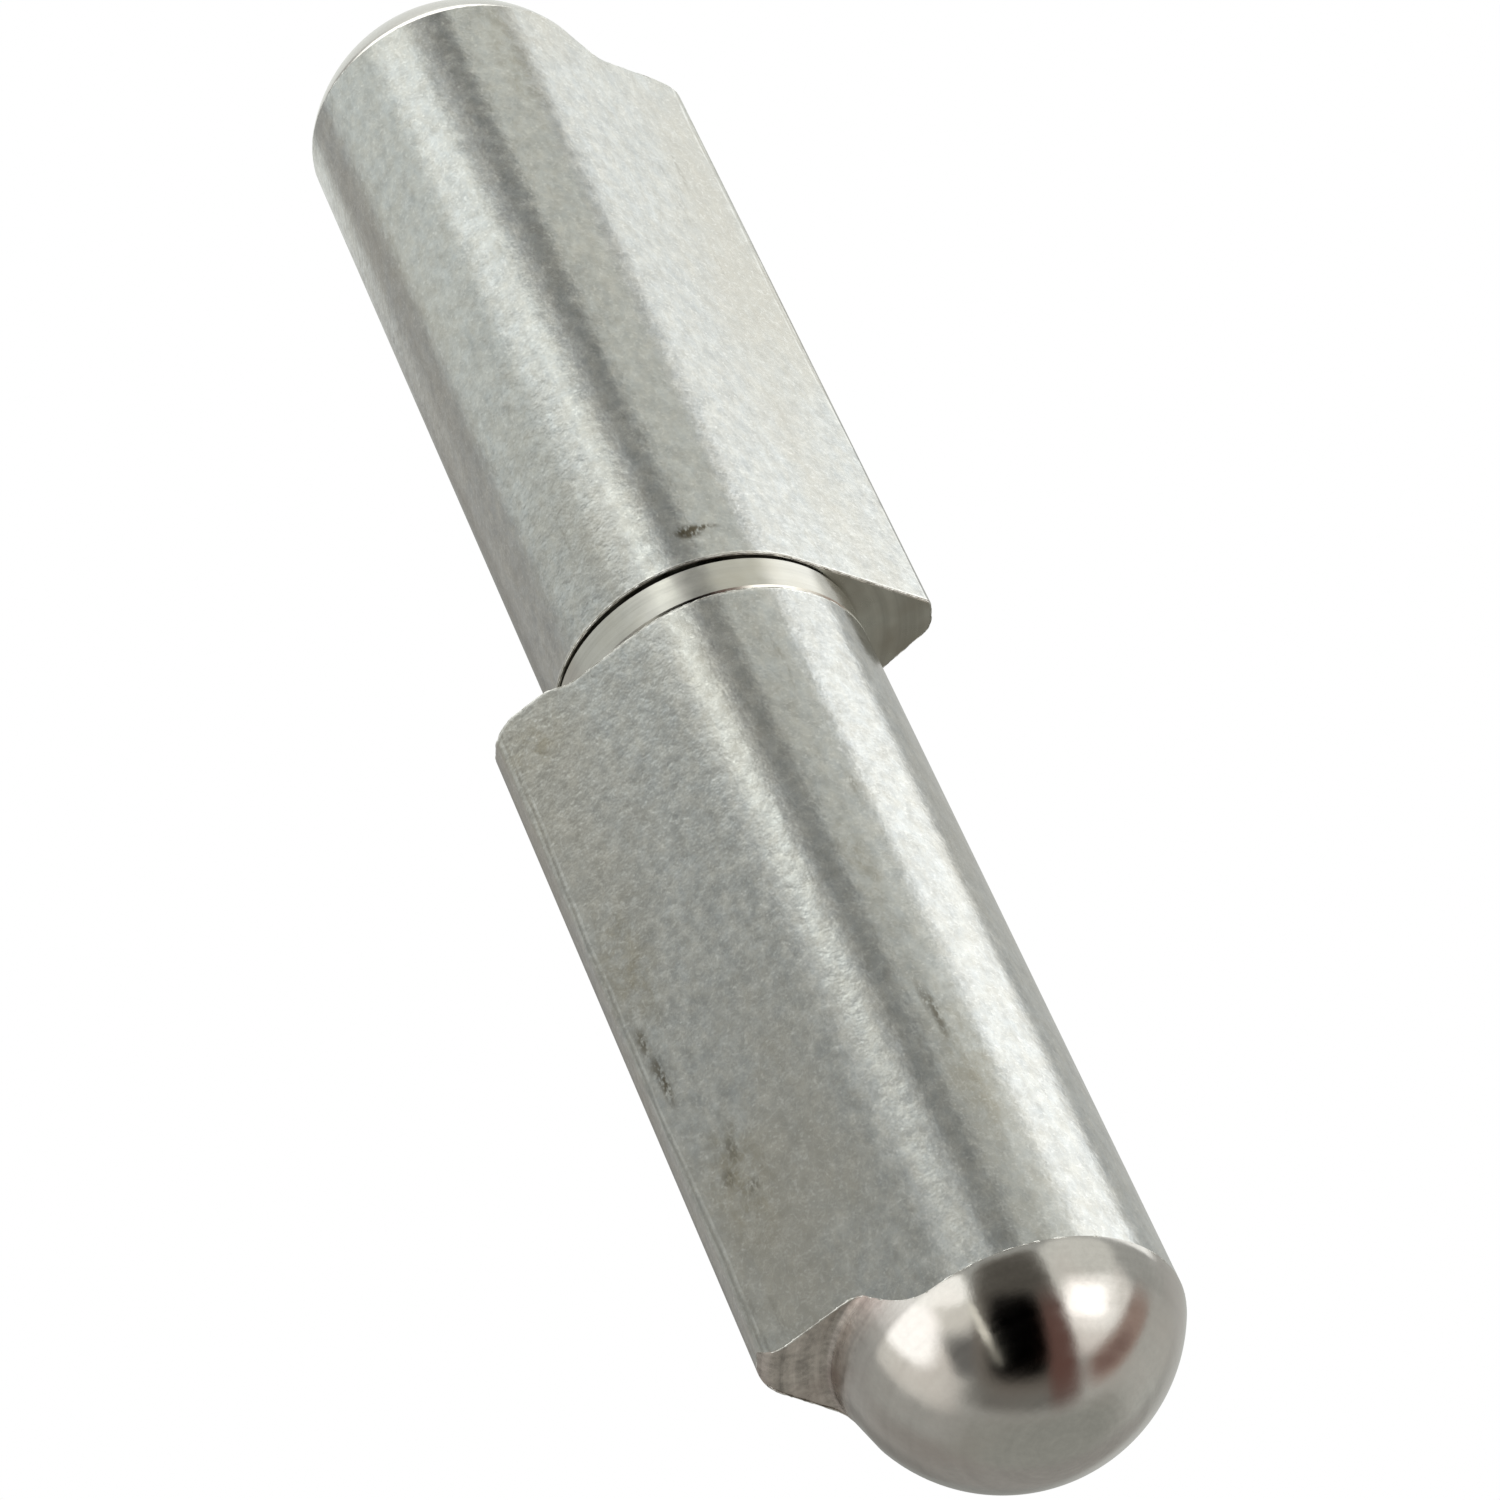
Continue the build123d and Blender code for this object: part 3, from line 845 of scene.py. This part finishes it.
# Soft tent round the hinge. Above, bands of cloth, lit windows and dark slots, each
# (azimuth from, to, edge), (elevation from, to, edge), (r, g, b), all angles in degrees.
# Below, cards laid out on a map of the ground, whose middle is straight down, each
# (right, front), half sizes, turn, edge, (r, g, b).
tent = dict(
    radius=1.4, cloth=(0.50, 0.50, 0.475), ground=(0.475, 0.475, 0.445), groundTop=(0, 14),  # degrees
    bands=[
        ((-400, -112, 24), (-90, 60, 20), (0.43, 0.42, 0.395)),   # rear left wall
        ((108, 400, 24), (-90, 60, 20), (0.56, 0.56, 0.53)),      # rear right wall
        ((-210, -162, 14), (-35, 46, 8), (0.29, 0.28, 0.26)),     # rear middle
        ((162, 210, 14), (-35, 46, 8), (0.32, 0.32, 0.30)),
        ((104, 400, 20), (47, 90, 4), (0.88, 0.90, 0.86)),        # rear top
        ((-400, -150, 14), (47, 90, 4), (0.88, 0.90, 0.86)),
        ((-112, -38, 10), (14, 43, 2), (0.37, 0.37, 0.345)),      # left, below the cloth
        ((-112, -24, 12), (43, 90, 2), (0.74, 0.76, 0.72)),       # upper left cloth
        ((-54, -25, 12), (43.5, 90, 2), (1.14, 1.16, 1.11)),
        ((-42, -8, 10), (14, 43, 2), (0.56, 0.56, 0.53)),         # left of the dark strip
        ((-32, -15, 6), (39.6, 43.5, 1.2), (1.60, 1.61, 1.50)),   # left slot of light
        ((8, 50, 12), (20, 90, 10), (0.55, 0.55, 0.51)),          # right cloth
        ((10, 50, 10), (42, 90, 3), (0.68, 0.68, 0.62)),
        ((32, 60, 12), (14, 39.5, 2), (0.84, 0.84, 0.79)),
        ((51, 97, 10), (10, 43.5, 3), (1.42, 1.42, 1.38)),        # right window
        ((62, 102, 12), (43, 90, 4), (1.05, 1.06, 1.02)),
        ((-8, 10, 8), (-30, 90, 8), (0.29, 0.29, 0.27)),          # dark strip in front
        ((-115, 98, 20), (60, 90, 8), (2.20, 2.20, 2.12)),        # overhead light, for rims and burrs
    ],
    cards=[
        ((-5, -92), (62, 36), 0, 0.5, (0.37, 0.355, 0.33)),       # floor at the back
        ((52, -32), (34, 26), 0, 0.6, (0.58, 0.58, 0.54)),
        ((6, -42), (40, 22), 0, 0.6, (0.38, 0.38, 0.345)),
        ((-86, -4), (44, 26), 0, 0.5, (0.88, 0.86, 0.80)),        # glow round the left window
        ((-66, 47), (30, 22), 24, 0.4, (0.95, 0.95, 0.88)),
        ((-96, 18), (37, 24), 0, 0.35, (1.76, 1.75, 1.71)),       # left window
        ((-66, 55), (25, 13), 22, 0.28, (1.50, 1.50, 1.44)),
        ((50, 58), (30, 27), 0, 0.35, (0.86, 0.85, 0.79)),        # right cloth
        ((50, 21), (25, 12), 4, 0.5, (1.02, 0.98, 0.92)),         # right window
        ((43, 34), (23, 15), -33, 0.35, (1.28, 1.25, 1.19)),
        ((42, 36), (16, 9), -35, 0.45, (2.05, 2.00, 1.94)),
        ((55, -1), (24, 11), 6, 0.75, (0.41, 0.30, 0.255)),       # brown ground at the right
        ((46, -2), (14, 6), 0, 0.8, (0.27, 0.18, 0.155)),
        ((-9, -3), (27, 14), 0, 0.7, (0.22, 0.215, 0.195)),       # soft dark ground
        ((-37, 17), (14, 12), 25, 0.6, (0.20, 0.20, 0.19)),
        ((-7, 41), (30, 46), 0, 0.22, (0.23, 0.215, 0.19)),       # dark flag in front
        ((-6, 41), (25, 40), 0, 0.3, (0.12, 0.11, 0.095)),
        ((16, 18), (9, 33), 0, 0.8, (0.17, 0.095, 0.08)),         # brown edge of the flag
        ((-9, 32), (18, 26), 0, 0.4, (0.0, 0.0, 0.0)),            # black hole behind it
        ((-28, 30), (16, 1.8), -62, 0.6, (0.55, 0.55, 0.48)),     # gap beside the flag
        ((-33, 40), (13, 2.6), -62, 0.6, (1.10, 1.10, 0.98)),
    ],
)


def makeTent(t):
    bm = bmesh.new()
    bmesh.ops.create_uvsphere(bm, u_segments=64, v_segments=32, radius=t["radius"])
    mesh = bpy.data.meshes.new("softTent")
    bm.to_mesh(mesh)
    bm.free()
    shell = bpy.data.objects.new("softTent", mesh)
    bpy.context.scene.collection.objects.link(shell)
    material = bpy.data.materials.new("tentCloth")
    material.use_nodes = True
    nodes, links = material.node_tree.nodes, material.node_tree.links
    nodes.remove(nodes["Principled BSDF"])

    def node(kind, *values, **settings):
        made = nodes.new(kind)
        for key, value in settings.items():
            setattr(made, key, value)
        for i, value in enumerate(values):
            if hasattr(value, "is_output"):
                links.new(value, made.inputs[i])
            elif value is not None:
                made.inputs[i].default_value = value
        return made.outputs[0]

    where = nodes.new("ShaderNodeTexCoord").outputs["Object"]
    unit = node("ShaderNodeVectorMath", where, operation="NORMALIZE")
    split = nodes.new("ShaderNodeSeparateXYZ")
    links.new(unit, split.inputs[0])
    x, y, z = split.outputs
    backwards = node("ShaderNodeMath", y, -1.0, operation="MULTIPLY")
    azimuth = node("ShaderNodeMath", x, backwards, operation="ARCTAN2")
    azimuth = node("ShaderNodeMath", azimuth, 180 / pi, operation="MULTIPLY")
    elevation = node("ShaderNodeMath", z, operation="ARCSINE")
    elevation = node("ShaderNodeMath", elevation, 180 / pi, operation="MULTIPLY")

    def edge(value, at, soft, rising):
        half = soft / 2 if rising else -soft / 2
        return between(nodes, links, value, at - half, at + half)

    above = t["cloth"]
    for (a0, a1, aSoft), (e0, e1, eSoft), light in t["bands"]:
        mask = None
        for value, at, soft, rising in ((azimuth, a0, aSoft, True), (azimuth, a1, aSoft, False),
                                        (elevation, e0, eSoft, True), (elevation, e1, eSoft, False)):
            if abs(at) > 180 or (value is elevation and abs(at) >= 90):
                continue
            side = edge(value, at, soft, rising)
            mask = side if mask is None else node("ShaderNodeMath", mask, side, operation="MULTIPLY")
        above = mix(nodes, links, mask, above, light)
    # the ground map: angle from straight down, laid out to the right and to the front
    down = node("ShaderNodeMath", elevation, 90.0, operation="ADD")
    level = nodes.new("ShaderNodeCombineXYZ")
    links.new(x, level.inputs[0])
    links.new(backwards, level.inputs[1])
    heading = node("ShaderNodeVectorMath", level.outputs[0], operation="NORMALIZE")
    spread = nodes.new("ShaderNodeVectorMath")
    spread.operation = "SCALE"
    links.new(heading, spread.inputs[0])
    links.new(down, spread.inputs["Scale"])
    below = t["ground"]
    for centre, half, turn, soft, light in t["cards"]:
        mapping = nodes.new("ShaderNodeMapping")
        mapping.vector_type = "TEXTURE"
        mapping.inputs["Location"].default_value = (*centre, 0)
        mapping.inputs["Rotation"].default_value = (0, 0, radians(turn))
        mapping.inputs["Scale"].default_value = (*half, 1)
        links.new(spread.outputs[0], mapping.inputs["Vector"])
        squared = node("ShaderNodeVectorMath", mapping.outputs[0], mapping.outputs[0], operation="MULTIPLY")
        distance = nodes.new("ShaderNodeVectorMath")
        distance.operation = "LENGTH"
        links.new(squared, distance.inputs[0])
        mask = edge(distance.outputs["Value"], 1.0, 2 * soft, False)
        below = mix(nodes, links, mask, below, light)
    colour = mix(nodes, links, between(nodes, links, elevation, *t["groundTop"]), below, above)
    glow = nodes.new("ShaderNodeEmission")
    links.new(colour, glow.inputs["Color"])
    links.new(glow.outputs[0], nodes["Material Output"].inputs["Surface"])
    mesh.materials.append(material)
    shell.visible_camera = False
    shell.visible_shadow = False


def makeFloor(s, t):
    bm = bmesh.new()
    reach = 0.98 * sqrt(t["radius"] ** 2 - s["floorHeight"] ** 2)
    bmesh.ops.create_circle(bm, cap_ends=True, segments=96, radius=reach)
    bmesh.ops.translate(bm, verts=bm.verts, vec=(0, 0, s["floorHeight"]))
    mesh = bpy.data.meshes.new("paleFloor")
    bm.to_mesh(mesh)
    bm.free()
    floor = bpy.data.objects.new("paleFloor", mesh)
    bpy.context.scene.collection.objects.link(floor)
    material = bpy.data.materials.new("paleFloorPaint")
    material.use_nodes = True
    nodes, links = material.node_tree.nodes, material.node_tree.links
    shader = nodes["Principled BSDF"]
    shader.inputs["Base Color"].default_value = (0.86, 0.86, 0.86, 1)
    shader.inputs["Roughness"].default_value = 0.9
    shader.inputs["Emission Color"].default_value = (1, 1, 1, 1)
    seen = nodes.new("ShaderNodeLightPath")
    lift = nodes.new("ShaderNodeMapRange")  # the camera sees the floor as pale as the room
    lift.inputs["To Max"].default_value = s["floorLift"]
    links.new(seen.outputs["Is Camera Ray"], lift.inputs["Value"])
    links.new(lift.outputs["Result"], shader.inputs["Emission Strength"])
    mesh.materials.append(material)
    floor.visible_glossy = False  # the dome mirrors the dark ground under the tent instead


makeTent(tent)
makeFloor(studio, tent)
makeCamera(studio)
makeWorld(studio)
bpy.context.scene.view_settings.view_transform = "Standard"
print("studio set")
